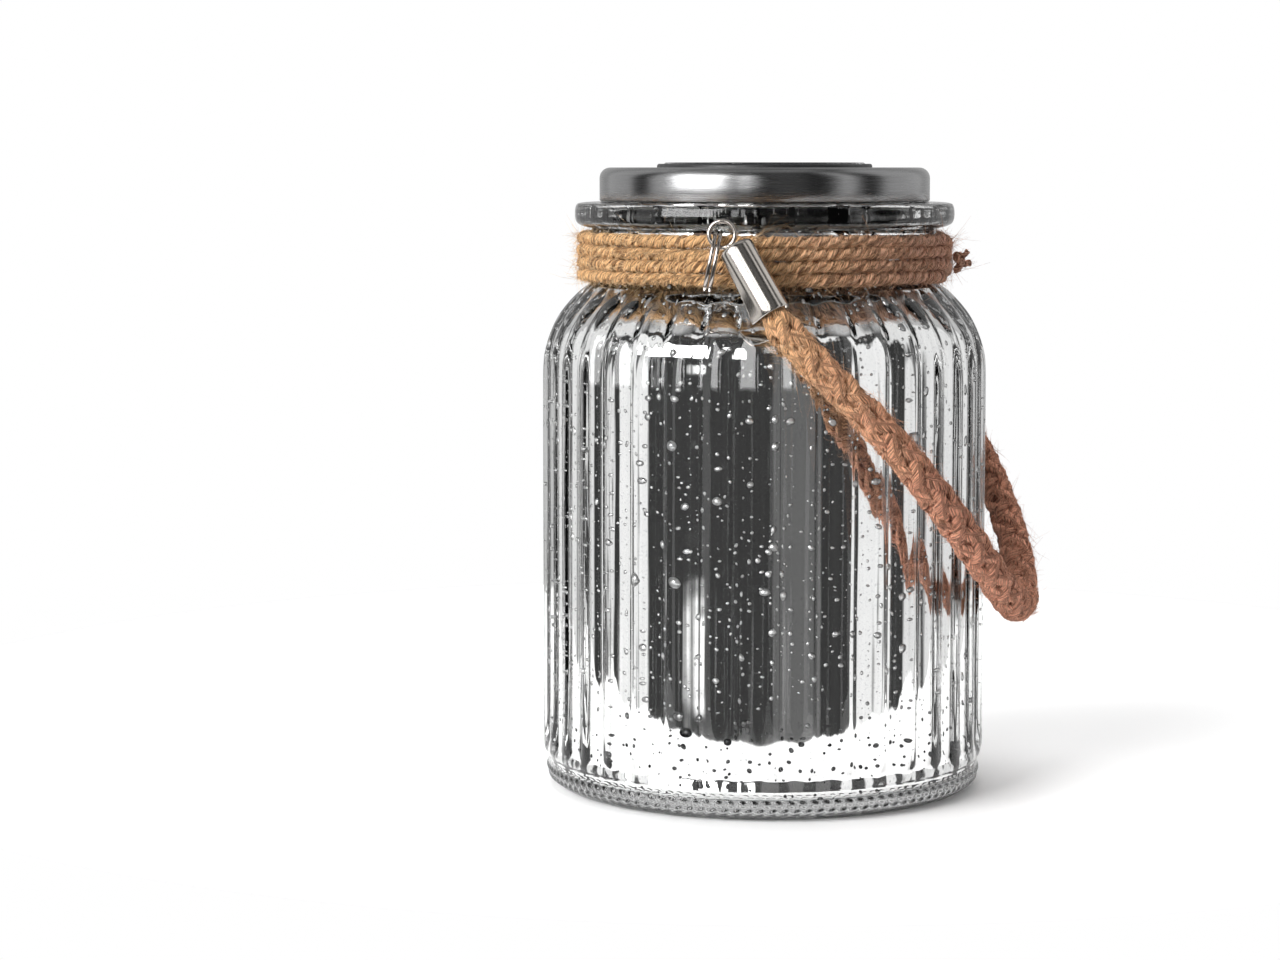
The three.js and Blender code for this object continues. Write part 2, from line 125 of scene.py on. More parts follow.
def unit(vectors):
    """Each row at length 1."""
    return vectors / np.linalg.norm(vectors, axis=1)[:, None]


def smooth_step(x):
    t = np.clip(x, 0, 1)
    return t * t * (3 - 2 * t)


def chaikin(points, rounds, keep=()):
    """Rounds the corners of an open line of points; the two ends and the kept points stay sharp."""
    line = [(np.array(p, dtype=float), i in keep) for i, p in enumerate(points)]
    for _ in range(rounds):
        out = line[:1]
        for i, ((a, sharp), (b, next_sharp)) in enumerate(zip(line[:-1], line[1:])):
            if i > 0:
                out.append((a, True) if sharp else (a + 0.25 * (b - a), False))
            if i < len(line) - 2 and not next_sharp:
                out.append((b - 0.25 * (b - a), False))
        line = [*out, line[-1]]
    return np.array([point for point, _ in line])


def refine(points, step):
    """Splits the long stretches of a line of points, [x, z, ...], to steps of at most step."""
    out = [points[0]]
    for a, b in zip(points[:-1], points[1:]):
        n = max(1, int(math.ceil(np.linalg.norm((b - a)[:2]) / step)))
        out.extend(a + (b - a) * k / n for k in range(1, n + 1))
    return np.array(out)


ON_AXIS_MM = 1e-6  # a profile point nearer than this is on the axis


def lathe_mm(name, profile, segments, material, body, slot, *nodes):
    """A turned piece. The profile goes round anticlockwise, seen with the axis on its left."""
    line = np.array(profile, dtype=float)
    angles = circle(segments)
    points, index = [], []
    for r, z in line:
        if r < ON_AXIS_MM:
            index.append([len(points)] * segments)
            points.append((0, 0, z))
        else:
            index.append(list(range(len(points), len(points) + segments)))
            points.extend(about_z(r, angles, z))
    faces = []
    if line[0][0] > ON_AXIS_MM and np.allclose(line[0], line[-1]):
        points = points[:-segments]
        index[-1] = index[0]
    for a, b in zip(index[:-1], index[1:]):
        for k in range(segments):
            n = (k + 1) % segments
            quad = [a[k], a[n], b[n], b[k]]
            face = [v for i, v in enumerate(quad) if v != quad[i - 1]]
            if len(face) > 2:
                faces.append(face)
    add_piece(name, points, faces, material, body, slot, *nodes)


SLANT = (0.31, 0.11, 0.94)  # no path starts along it


def travelling_frames(path):
    """Tangents and two normals along a line of points, turning as little as possible."""
    tangents = unit(np.gradient(np.asarray(path, dtype=float), axis=0))
    normal = np.cross(tangents[0], SLANT)
    normals = []
    for tangent in tangents:
        normal = normal - tangent * normal.dot(tangent)
        normal = normal / np.linalg.norm(normal)
        normals.append(normal)
    normals = np.array(normals)
    return tangents, normals, np.cross(tangents, normals)


def along(path):
    steps = np.linalg.norm(np.diff(path, axis=0), axis=1)
    return np.concatenate([[0], np.cumsum(steps)])


def resample(path, step):
    s = along(path)
    at = np.linspace(0, s[-1], max(2, int(round(s[-1] / step)) + 1))
    return np.stack([np.interp(at, s, path[:, k]) for k in range(3)], axis=1)


def sweep(path, radii, sides, frames=None, start=0, closed=False):
    """Points and faces of a tube. radii is one number, one for each ring, or one for each point."""
    path = np.asarray(path, dtype=float)
    _, n, b = frames if frames is not None else travelling_frames(path)
    angles = circle(sides)
    radii = np.asarray(radii, dtype=float)
    if radii.ndim < 2:
        radii = np.broadcast_to(radii.reshape(-1, 1), (len(path), sides))
    ring = np.cos(angles)[None, :, None] * n[:, None, :] + np.sin(angles)[None, :, None] * b[:, None, :]
    points = (path[:, None, :] + radii[:, :, None] * ring).reshape(-1, 3)
    return points, tube_faces(len(path), sides, start, closed)


def catmull(points, steps=14):
    """The centripetal curve through the points, as the CAD model's own route is made."""

    def between(p, q, start, end, t):
        return (p * (end - t) + q * (t - start)) / (end - start)

    p = [np.array(q, dtype=float) for q in points]
    p = [2 * p[0] - p[1], *p, 2 * p[-1] - p[-2]]
    out = []
    for a, b, c, d in zip(p[:-3], p[1:-2], p[2:-1], p[3:]):
        t1 = np.linalg.norm(b - a) ** 0.5
        t2 = t1 + np.linalg.norm(c - b) ** 0.5
        t3 = t2 + np.linalg.norm(d - c) ** 0.5
        for k in range(steps):
            t = t1 + (t2 - t1) * k / steps
            ab = between(a, b, 0, t1, t)
            bc = between(b, c, t1, t2, t)
            cd = between(c, d, t2, t3, t)
            out.append(between(between(ab, bc, 0, t2, t), between(bc, cd, t1, t3, t), t1, t2, t))
    out.append(p[-2])
    return np.array(out)


def any_outward(frames, rng):
    """For each point of a path, a direction straight out from it at a random angle."""
    _, n, b = frames
    phi = rng.random(len(n)) * TAU
    return np.cos(phi)[:, None] * n + np.sin(phi)[:, None] * b


def wander(count, knots, size, rng):
    """A smooth random line: count values that swing by about size, with that many knots."""
    values = rng.normal(0, size, max(4, knots))
    return np.interp(np.linspace(0, len(values) - 1, count), np.arange(len(values)), values)


# ---- material nodes ----
class Nodes:
    """Short calls that make and join the nodes of one tree."""

    def __init__(self, tree):
        self.tree = tree

    def node(self, kind, inputs=None, **properties):
        made = self.tree.nodes.new("ShaderNode" + kind)
        for key, value in properties.items():
            setattr(made, key, value)
        for key, value in (inputs or {}).items():
            self.feed(value, made.inputs[key])
        return made

    def feed(self, value, socket):
        if isinstance(value, bpy.types.NodeSocket):
            self.tree.links.new(value, socket)
        elif isinstance(value, bpy.types.Node):
            self.tree.links.new(value.outputs[0], socket)
        else:
            socket.default_value = value

    def math(self, operation, *values, clamp=False):
        inputs = dict(enumerate(values))
        return self.node("Math", inputs, operation=operation, use_clamp=clamp).outputs[0]

    def ramp(self, value, low, high, to_low=0.0, to_high=1.0):
        inputs = dict(enumerate((value, low, high, to_low, to_high)))
        return self.node("MapRange", inputs).outputs[0]

    def plus(self, first, second):
        return self.math("ADD", first, second)

    def times(self, first, second):
        return self.math("MULTIPLY", first, second)


class Paint(Nodes):
    """A material. Its settings, and a number given to set, go on the shader's own sockets."""

    def __init__(self, name, **settings):
        self.material = bpy.data.materials.new(name)
        self.material.use_nodes = True
        super().__init__(self.material.node_tree)
        self.shader = self.tree.nodes["Principled BSDF"]
        self.set(**settings)

    def set(self, **inputs):
        for key, value in inputs.items():
            self.feed(value, self.shader.inputs[key.replace("_", " ")])

    def place(self):
        return self.node("TexCoord").outputs["Object"]

    def xyz(self):
        return self.node("SeparateXYZ", {0: self.place()}).outputs

    def point(self, x, y):
        return self.node("CombineXYZ", {0: x, 1: y}).outputs[0]

    def stretched(self, scale, source=None):
        source = source or self.place()
        return self.node("Mapping", {"Vector": source, "Scale": scale}).outputs[0]

    def noise(self, scale, vector=None, detail=3.0, roughness=0.5):
        place = vector or self.place()
        inputs = {"Vector": place, "Scale": scale, "Detail": detail, "Roughness": roughness}
        return self.node("TexNoise", inputs).outputs["Fac"]

    def cells(self, scale, **properties):
        inputs = {"Vector": self.place(), "Scale": scale}
        return self.node("TexVoronoi", inputs, **properties).outputs

    def mix(self, share, first, second):
        made = self.node("Mix", data_type="RGBA")
        self.feed(share, made.inputs[0])
        for value, socket in ((first, made.inputs[6]), (second, made.inputs[7])):
            self.feed((*value, 1.0) if isinstance(value, tuple) and len(value) == 3 else value, socket)
        return made.outputs[2]

    def bump(self, height, distance, strength=1.0, onto=None):
        inputs = {"Height": height, "Distance": distance, "Strength": strength}
        if onto is not None:
            inputs["Normal"] = onto
        made = self.node("Bump", inputs)
        self.feed(made, self.shader.inputs["Normal"])
        return made.outputs[0]


def glass_material():
    paint = Paint("clear_glass", Roughness=0.0, IOR=1.5, Transmission_Weight=1.0)
    wave = paint.noise(1.0, paint.stretched((330.0, 330.0, 16.0)), detail=2.0)
    paint.set(Base_Color=paint.mix(paint.noise(30.0), (0.98, 0.99, 0.985), (1.0, 1.0, 1.0)))
    paint.set(Roughness=paint.ramp(paint.noise(260.0), 0.62, 0.8, 0.0, 0.05))
    paint.bump(wave, 0.00035, 0.5)
    return paint.material


def spots(paint, place, cells, largest, share, spread):
    """Height of round domes in metres, and 1 where a spot is, 0 elsewhere."""
    inputs = {"Vector": place, "Scale": cells}
    voronoi = paint.node("TexVoronoi", inputs, voronoi_dimensions="2D")
    draw = paint.node("SeparateColor", {0: voronoi.outputs["Color"]})
    chosen = paint.math("LESS_THAN", draw.outputs[0], share)
    size = paint.times(paint.math("POWER", draw.outputs[1], spread), largest)
    size = paint.times(paint.plus(size, largest * 0.15), chosen)
    ratio = paint.math("DIVIDE", voronoi.outputs["Distance"], paint.math("MAXIMUM", size, 1e-5))
    inside = paint.math("SUBTRACT", 1.0, paint.times(ratio, ratio), clamp=True)
    dome = paint.times(paint.math("SQRT", inside), paint.math("DIVIDE", size, cells))
    return dome, paint.ramp(inside, 0.0, 0.15)


SPECK_SIZES = (  # cells per metre, largest radius in cells, share of the cells, how rare the large ones are
    (100.0, 0.12, 0.42, 1.5),
    (225.0, 0.17, 0.55, 1.2),
    (600.0, 0.24, 0.42, 1.0),
)
COATING_RADIUS = 0.045
NECK_STARTS = (0.1195, 0.1205)  # heights between which the coating turns rougher and gets painted dark reflection streaks
PALE_SPECKS_START = (0.018, 0.026)  # heights between which the specks turn from dark painted shade to pale painted light


def silver_material():
    """Mirror coating with bubbles and specks where it didn't take. The specks' colour is painted shade low
    down and painted light higher up, and the neck gets painted dark reflection streaks.
    """
    paint = Paint("silver_coating", Metallic=1.0, Roughness=0.03)
    x, y, z = paint.xyz()
    turn = paint.math("ARCTAN2", x, paint.times(y, -1.0))
    flat = paint.point(paint.times(turn, COATING_RADIUS), z)
    warp = paint.node("TexNoise", {"Vector": paint.place(), "Scale": 300.0, "Detail": 0.0})
    shift = paint.node("VectorMath", {0: warp.outputs["Color"], 1: (0.0012, 0.0012, 0.0)},
                       operation="MULTIPLY")
    place = paint.node("VectorMath", {0: flat, 1: shift.outputs[0]}, operation="ADD").outputs[0]
    found = [spots(paint, place, *sizes) for sizes in SPECK_SIZES]
    height = paint.math("MAXIMUM", paint.math("MAXIMUM", found[0][0], found[1][0]), found[2][0])
    mask = paint.math("MAXIMUM", paint.math("MAXIMUM", found[0][1], found[1][1]), found[2][1])
    cloud = paint.noise(70.0, detail=6.0, roughness=0.65)
    grain = paint.noise(2200.0, detail=2.0)
    streak = paint.noise(1.0, paint.stretched((900.0, 900.0, 25.0)), detail=3.0)
    base = paint.mix(paint.ramp(cloud, 0.35, 0.75), (0.96, 0.96, 0.955), (0.88, 0.88, 0.88))
    base = paint.mix(paint.ramp(grain, 0.60, 0.72), base, (0.78, 0.78, 0.79))
    base = paint.mix(paint.ramp(streak, 0.66, 0.74), base, (0.80, 0.80, 0.81))
    neck = paint.ramp(z, *NECK_STARTS)
    # Painted reflection: near-black vertical streaks in the coating at the neck stand for the dark streaks
    # that the bead reflects.
    dark_streak_noise = paint.noise(1.0, paint.stretched((260.0, 260.0, 9.0)), detail=3.0)
    painted_dark_streaks = paint.times(paint.ramp(dark_streak_noise, 0.56, 0.58), neck)
    base = paint.mix(painted_dark_streaks, base, (0.018, 0.014, 0.013))
    # Painted light and shade: the specks are dark on the foot and pale higher up, for what they reflect
    # there, not their own colour.
    speck_shade_and_light = paint.mix(paint.ramp(z, *PALE_SPECKS_START), (0.045, 0.045, 0.047), (0.97, 0.97, 0.97))
    paint.set(Base_Color=paint.mix(mask, base, speck_shade_and_light))
    paint.set(Metallic=paint.math("SUBTRACT", 1.0, paint.times(mask, 0.40)))
    rough = paint.plus(paint.ramp(cloud, 0.3, 0.8, 0.015, 0.05), paint.times(neck, 0.05))
    paint.set(Roughness=paint.plus(rough, paint.times(mask, 0.06)))
    first = paint.bump(height, 0.8, 1.0)
    paint.bump(paint.noise(110.0, detail=1.0), 0.00012, 0.25, onto=first)
    return paint.material


ROSY_FROM, ROSY_TO = 0.004, 0.044  # along X; from the golden lit side to the darker rosy side, painted light and shade
DARK_GOLD = (0.11, 0.038, 0.010)
DARK_ROSE = (0.11, 0.036, 0.020)


def jute_material(name, rosy_tone):
    """Twisted jute: golden and lighter on the -X side, turning to the darker rosy tone towards +X, painted
    light and shade; painted shade along the strands.
    """
    paint = Paint(name, Roughness=0.9)
    where = paint.node("Attribute", attribute_name="lay").outputs["Vector"]
    fibre = paint.noise(1.0, paint.stretched((380.0, 3300.0, 1.0), where), detail=6.0, roughness=0.75)
    strand = paint.noise(1.0, paint.stretched((110.0, 900.0, 1.0), where), detail=3.0)
    patch = paint.noise(170.0, detail=4.0)
    fleck = paint.noise(1500.0, detail=3.0, roughness=0.7)
    uneven = paint.ramp(patch, 0.3, 0.7, -0.006, 0.006)
    # Painted light and shade: the -X side, which the left lamp lights, is golden, and the +X side is rosy
    # and darker.
    turn = paint.ramp(paint.plus(paint.xyz()[0], uneven), ROSY_FROM, ROSY_TO)
    share = paint.ramp(fibre, 0.42, 0.53)
    golden = paint.mix(share, DARK_GOLD, (1.0, 0.61, 0.29))
    rosy = paint.mix(share, DARK_ROSE, rosy_tone)
    body = paint.mix(turn, golden, rosy)
    # Painted shade: dark patches along the strands stand for the shade between the plies.
    body = paint.mix(paint.ramp(strand, 0.52, 0.62, 0.0, 0.75), body, (0.10, 0.040, 0.017))
    body = paint.mix(paint.ramp(fleck, 0.60, 0.72, 0.0, 0.6), body, (0.90, 0.66, 0.42))
    paint.set(Base_Color=body)
    paint.set(Roughness=paint.ramp(fibre, 0.2, 0.8, 0.75, 0.98))
    rough = paint.plus(paint.plus(fibre, strand), paint.times(fleck, 0.5))
    paint.bump(rough, 0.0006, 1.0)
    return paint.material


def fuzz_material():
    """The same jute, paler, for its loose fibres."""
    paint = Paint("jute_fuzz", Roughness=0.85)
    tint = paint.noise(900.0, detail=2.0)
    share = paint.ramp(tint, 0.35, 0.65)
    golden = paint.mix(share, (0.42, 0.21, 0.075), (1.0, 0.74, 0.44))
    rosy = paint.mix(share, (0.34, 0.15, 0.09), (0.85, 0.46, 0.31))
    # Painted light and shade, as on the jute: golden on the lit -X side, rosy and darker towards +X.
    paint.set(Base_Color=paint.mix(paint.ramp(paint.xyz()[0], ROSY_FROM, ROSY_TO), golden, rosy))
    paint.set(Roughness=paint.ramp(tint, 0.3, 0.7, 0.7, 0.95))
    return paint.material


def polished_material(name, colour, roughness):
    """Plated or ground metal with faint smudges."""
    paint = Paint(name, Metallic=1.0)
    fine = paint.noise(2600.0, detail=2.0)
    smudge = paint.noise(120.0, detail=4.0)
    dark = tuple(0.86 * c for c in colour)
    paint.set(Base_Color=paint.mix(paint.ramp(smudge, 0.3, 0.75), colour, dark))
    paint.set(Roughness=paint.ramp(smudge, 0.35, 0.75, roughness, roughness + 0.05))
    paint.bump(fine, 0.00002, 0.25)
    return paint.material


def brushed_material():
    """Steel brushed round the lid's axis."""
    paint = Paint("brushed_steel", Metallic=1.0, Anisotropic=0.8, Anisotropic_Rotation=0.25)
    x, y, z = paint.xyz()
    radius = paint.node("VectorMath", {0: paint.point(x, y)}, operation="LENGTH")
    lane = paint.plus(radius.outputs["Value"], z)
    turn = paint.math("ARCTAN2", y, x)
    across = paint.point(paint.times(turn, 2.5), paint.times(lane, 9000.0))
    lines = paint.noise(1.0, across, detail=3.0, roughness=0.7)
    broad = paint.noise(1.0, paint.stretched((1.0, 0.12, 1.0), across), detail=2.0)
    paint.set(Base_Color=paint.mix(paint.ramp(lines, 0.3, 0.7), (0.22, 0.22, 0.222), (0.32, 0.32, 0.323)))
    rough = paint.ramp(lines, 0.2, 0.8, 0.20, 0.30)
    paint.set(Roughness=paint.plus(rough, paint.ramp(broad, 0, 1, 0, 0.04)))
    paint.bump(lines, 0.00004, 0.3)
    paint.set(Tangent=paint.node("Tangent", direction_type="RADIAL", axis="Z"))
    return paint.material


def plastic_material(name, colour, roughness, grain=900.0, depth=0.00004):
    paint = Paint(name, Roughness=roughness)
    fine = paint.noise(grain, detail=3.0)
    cloud = paint.noise(60.0, detail=3.0)
    light = tuple(min(1.0, 1.12 * c + 0.004) for c in colour)
    paint.set(Base_Color=paint.mix(paint.ramp(cloud, 0.3, 0.7), colour, light))
    paint.set(Roughness=paint.ramp(fine, 0.3, 0.7, roughness - 0.05, roughness + 0.08))
    paint.bump(fine, depth, 0.4)
    return paint.material


FAR_SIDE = 1.0  # added to a place in metres, it keeps the place above 0


def grid_line(paint, value, pitch, width):
    """1 on lines that repeat with the pitch along value, 0 between them."""
    cell = paint.math("FRACT", paint.math("DIVIDE", paint.plus(value, FAR_SIDE), pitch))
    away = paint.math("ABSOLUTE", paint.math("SUBTRACT", cell, 0.5))
    return paint.math("LESS_THAN", away, 0.5 * width / pitch)


CELL_FINGERS = (0.0015, 0.00016)  # pitch and width
CELL_BARS = (0.0100, 0.0009)
CELL_GAPS = (0.0100, 0.0007)


def cell_material():
    """Blue crystal patches, fine fingers and two broad bars."""
    paint = Paint("solar_cell", Roughness=0.25)
    x, y, _ = paint.xyz()
    patch = paint.node("SeparateColor", {0: paint.cells(330.0)["Color"]}).outputs[0]
    blue = paint.mix(patch, (0.008, 0.012, 0.045), (0.02, 0.035, 0.12))
    finger = grid_line(paint, x, *CELL_FINGERS)
    bar = grid_line(paint, y, *CELL_BARS)
    gap = grid_line(paint, x, *CELL_GAPS)
    body = paint.mix(finger, blue, (0.35, 0.36, 0.38))
    body = paint.mix(bar, body, (0.55, 0.56, 0.58))
    body = paint.mix(gap, body, (0.01, 0.01, 0.012))
    paint.set(Base_Color=body, Roughness=paint.ramp(patch, 0, 1, 0.18, 0.35))
    paint.bump(paint.math("MAXIMUM", finger, bar), 0.00003, 0.6)
    return paint.material


def window_material():
    paint = Paint("clear_window", IOR=1.48, Transmission_Weight=1.0)
    paint.set(Base_Color=paint.mix(paint.noise(40.0), (0.90, 0.91, 0.93), (0.96, 0.965, 0.97)))
    paint.set(Roughness=paint.ramp(paint.noise(400.0, detail=5.0), 0.45, 0.8, 0.01, 0.12))
    paint.bump(paint.noise(35.0, detail=1.0), 0.0002, 0.1)
    return paint.material


def board_material():
    """Green circuit board with lighter tracks and tinned pads."""
    paint = Paint("circuit_board", Roughness=0.4)
    pad = paint.math("LESS_THAN", paint.cells(260.0)["Distance"], 0.16)
    track = paint.math("LESS_THAN", paint.cells(120.0, feature="DISTANCE_TO_EDGE")["Distance"], 0.05)
    green = paint.mix(track, (0.008, 0.075, 0.028), (0.02, 0.16, 0.06))
    paint.set(Base_Color=paint.mix(pad, green, (0.6, 0.6, 0.58)))
    paint.set(Metallic=pad, Roughness=paint.ramp(paint.noise(500.0), 0.3, 0.7, 0.3, 0.45))
    paint.bump(paint.math("MAXIMUM", pad, track), 0.00004, 0.6)
    return paint.material


BATTERY_BAND_X = 0.013  # where the sleeve's pale band starts
BATTERY_CAN_X = 0.0215  # where the sleeve ends


def battery_material():
    """Printed sleeve with plain bands; bare steel at the terminal."""
    paint = Paint("battery_sleeve", Roughness=0.3)
    x = paint.xyz()[0]
    grain = paint.noise(700.0)
    band = paint.math("GREATER_THAN", x, BATTERY_BAND_X)
    steel = paint.math("GREATER_THAN", x, BATTERY_CAN_X)
    body = paint.mix(band, (0.02, 0.20, 0.075), (0.75, 0.75, 0.72))
    body = paint.mix(paint.ramp(grain, 0.4, 0.8, 0.0, 0.15), body, (0.05, 0.05, 0.05))
    paint.set(Base_Color=paint.mix(steel, body, (0.62, 0.62, 0.62)), Metallic=steel)
    paint.set(Roughness=paint.ramp(grain, 0.3, 0.7, 0.24, 0.36))
    paint.bump(grain, 0.00002, 0.3)
    return paint.material


def lens_material():
    paint = Paint("led_lens", IOR=1.53, Transmission_Weight=0.85)
    paint.set(Base_Color=paint.mix(paint.noise(300.0), (0.95, 0.90, 0.72), (0.98, 0.95, 0.86)))
    paint.set(Roughness=paint.ramp(paint.noise(900.0), 0.3, 0.7, 0.06, 0.16))
    return paint.material


# ---- jar ----
FLUTES = 36
FLUTE_DEPTH_MM = 1.3
# [radius, height, share of the flutes' full depth], up the outside
JAR_OUTSIDE_MM = [
    (0, 0.9, 0), (30, 0.9, 0), (40.5, 0.5, 0), (42.6, 0, 0), (44.2, 0, 0), (46.3, 1.2, 0),
    (47.1, 3.0, 0), (47.2, 5.6, 0), (47.3, 6.6, 0.02), (48.2, 8.0, 0.12), (48.3, 9.5, 0.5), (48.3, 12, 0.9),
    (48.3, 20, 1), (48.3, 34, 1), (48.3, 88, 1), (48.2, 92, 1), (47.9, 94.8, 1), (46.6, 98.9, 1),
    (44.9, 102.4, 0.95), (42.6, 105.4, 0.8), (39.6, 108.4, 0.35), (37.4, 109.6, 0), (37.4, 121.5, 0),
    (39.6, 121.9, 0), (41.1, 122.9, 0), (41.1, 126.1, 0), (40.2, 127.1, 0), (32.6, 127.1, 0),
    (32.6, 131, 0), (29.5, 131, 0),
]
JAR_SHARP = (0, 22, 27, 28, 29)
JAR_INSIDE_MM = [
    (29.5, 131, 0), (29.5, 127, 0), (34, 121, 0), (34, 111.5, 0), (35.5, 107.5, 0), (39.6, 104, 0.1),
    (43.2, 100.4, 0.2), (44.7, 97.2, 0.3), (45, 94.6, 0.3), (45, 92, 0.3), (45, 14, 0.3), (45, 8, 0.2),
    (44.9, 4.8, 0.1), (43.6, 4.1, 0), (30, 4.2, 0), (0, 4.4, 0),
]
SIDES_A_FLUTE = 20
LONGEST_STEP_MM = {"heel": 0.35, "outside": 3.2, "inside": 5.0}  # between two rings of points
BOTTOM_EDGE_MM = {"outside": 20, "inside": 3}  # each bottom inside this radius is one flat fan
HEEL_TOP_MM = 7
HEEL_MARKS = 118
HEEL_ROWS_MM = ((3.9, 0.75), (2.1, 0.7))  # height and half height of each row of slanted marks
HEEL_MARKED_MM = (0.6, 6.2, 44)  # the marks lie between these heights and outside this radius
FLUTE_FACE = -90 * DEGREE  # a crest faces -Y


def flute_drop(angles):
    """0 on a crest and 1 in the narrow valley between two."""
    turn = (angles - FLUTE_FACE) * FLUTES
    wave = 0.5 - 0.5 * np.cos(turn)
    ridge = 1 - np.sqrt(np.cos(turn / 2) ** 2 * 0.98 + 0.02)
    return 0.45 * wave + 0.55 * ridge / (1 - math.sqrt(0.02))


def heel_marks(angles, z):
    """How far the slanted marks on the heel stand out, in millimetres."""
    out = np.zeros_like(angles)
    for row, (middle, half) in enumerate(HEEL_ROWS_MM):
        level = (z - middle) / half
        if abs(level) > 1.6:
            continue
        lean = 0.16 * level * (1 if row == 0 else -1)
        phase = angles * HEEL_MARKS / TAU + lean + 0.5 * row
        across = np.abs((phase % 1) - 0.5) / 0.30
        out += 0.42 * smooth_step(1.25 - np.hypot(across, level))
    return out


def jar_rings(profile, angles):
    rings = []
    drop = flute_drop(angles)
    low, high, within = HEEL_MARKED_MM
    for r, z, share in profile:
        radius = r - drop * share * FLUTE_DEPTH_MM
        if low < z < high and r > within:
            radius = radius + heel_marks(angles, z)
        rings.append(about_z(radius, angles, z))
    return rings


def add_jar(glass, silver):
    """The glass from its bottom up the outside, over the rim and down the coated inside."""
    segments = FLUTES * SIDES_A_FLUTE
    angles = circle(segments)
    outside = chaikin(JAR_OUTSIDE_MM, 3, JAR_SHARP)
    heel = outside[outside[:, 1] < HEEL_TOP_MM]
    wall = refine(outside[len(heel) - 1:], LONGEST_STEP_MM["outside"])[1:]
    outside = np.concatenate([refine(heel, LONGEST_STEP_MM["heel"]), wall])
    outside = outside[outside[:, 0] > BOTTOM_EDGE_MM["outside"]]
    inside = refine(chaikin(JAR_INSIDE_MM, 2, (0,)), LONGEST_STEP_MM["inside"])[1:-1]
    inside = inside[inside[:, 0] > BOTTOM_EDGE_MM["inside"]]
    rings = jar_rings(outside, angles) + jar_rings(inside, angles)
    points = np.concatenate(rings)
    faces = grid_faces(len(rings), segments)
    coated = [0] * ((len(outside) - 1) * segments) + [1] * (len(inside) * segments)
    top = len(points)
    middles = [(0, 0, JAR_INSIDE_MM[-1][1]), (0, 0, JAR_OUTSIDE_MM[0][1])]
    points = np.concatenate([points, middles])
    last = (len(rings) - 1) * segments
    for k in range(segments):
        faces.append([last + k, last + (k + 1) % segments, top])
        faces.append([(k + 1) % segments, k, top + 1])
        coated += [1, 0]
    add_piece("jar_glass", points, faces, glass, "jar", "silvered_glass", "glass_jar",
              inner=silver, face_materials=coated)


THREAD_MM = {"r": 32.55, "start": 128.4, "rise": 1.3, "wire": 0.75}
THREAD_ANGLE = 320 * DEGREE
THREAD_TAPER = 0.06  # share of its length at each end


def add_glass_thread(glass):
    t = np.linspace(0, 1, 260)
    path = about_z(THREAD_MM["r"], t * THREAD_ANGLE, THREAD_MM["start"] + THREAD_MM["rise"] * t)
    taper = smooth_step(t / THREAD_TAPER) * smooth_step((1 - t) / THREAD_TAPER)
    points, faces = sweep(path, THREAD_MM["wire"] * taper + 0.02, 14)
    add_piece("jar_thread", points, faces, glass, "jar", "silvered_glass")


# ---- jute ----
def yarn(path, frames, offset, size, sides, phase, pitch, rng, lobe_depth=0.1, lobe_pitch=None):
    """One ply wound round a path; gives its points, faces and lay vectors. Millimetres."""
    _, n, b = frames
    s = along(path)
    turn = phase + TAU * s / pitch + wander(len(s), len(s) // 18, 0.10, rng)
    reach = offset * (1 + wander(len(s), len(s) // 12, 0.05, rng))
    middle = path + reach[:, None] * (np.cos(turn)[:, None] * n + np.sin(turn)[:, None] * b)
    own = travelling_frames(middle)
    angles = circle(sides)
    lobe_pitch = lobe_pitch or pitch * 0.6
    twist = TAU * s[:, None] / lobe_pitch
    radii = size * (1 + lobe_depth * np.cos(2 * (angles[None, :] - twist)))
    radii = radii * (1 + wander(len(s), len(s) // 5, 0.06, rng))[:, None]
    radii = radii * (1 + rng.normal(0, 0.045, radii.shape))
    points, faces = sweep(middle, radii, sides, own)
    lay = np.stack([
        np.repeat(s * MM, sides),
        np.tile(angles, len(s)) * size * MM - np.repeat(s, sides) * size * TAU / lobe_pitch * MM,
        np.full(len(points), phase),
    ], 1)
    return points, faces, lay


def join_parts(parts):
    points, faces, lays, start = [], [], [], 0
    for part, quads, lay in parts:
        points.append(part)
        faces.extend([[v + start for v in face] for face in quads])
        lays.append(lay)
        start += len(part)
    return np.concatenate(points), faces, np.concatenate(lays)


HAIR_RINGS = 4


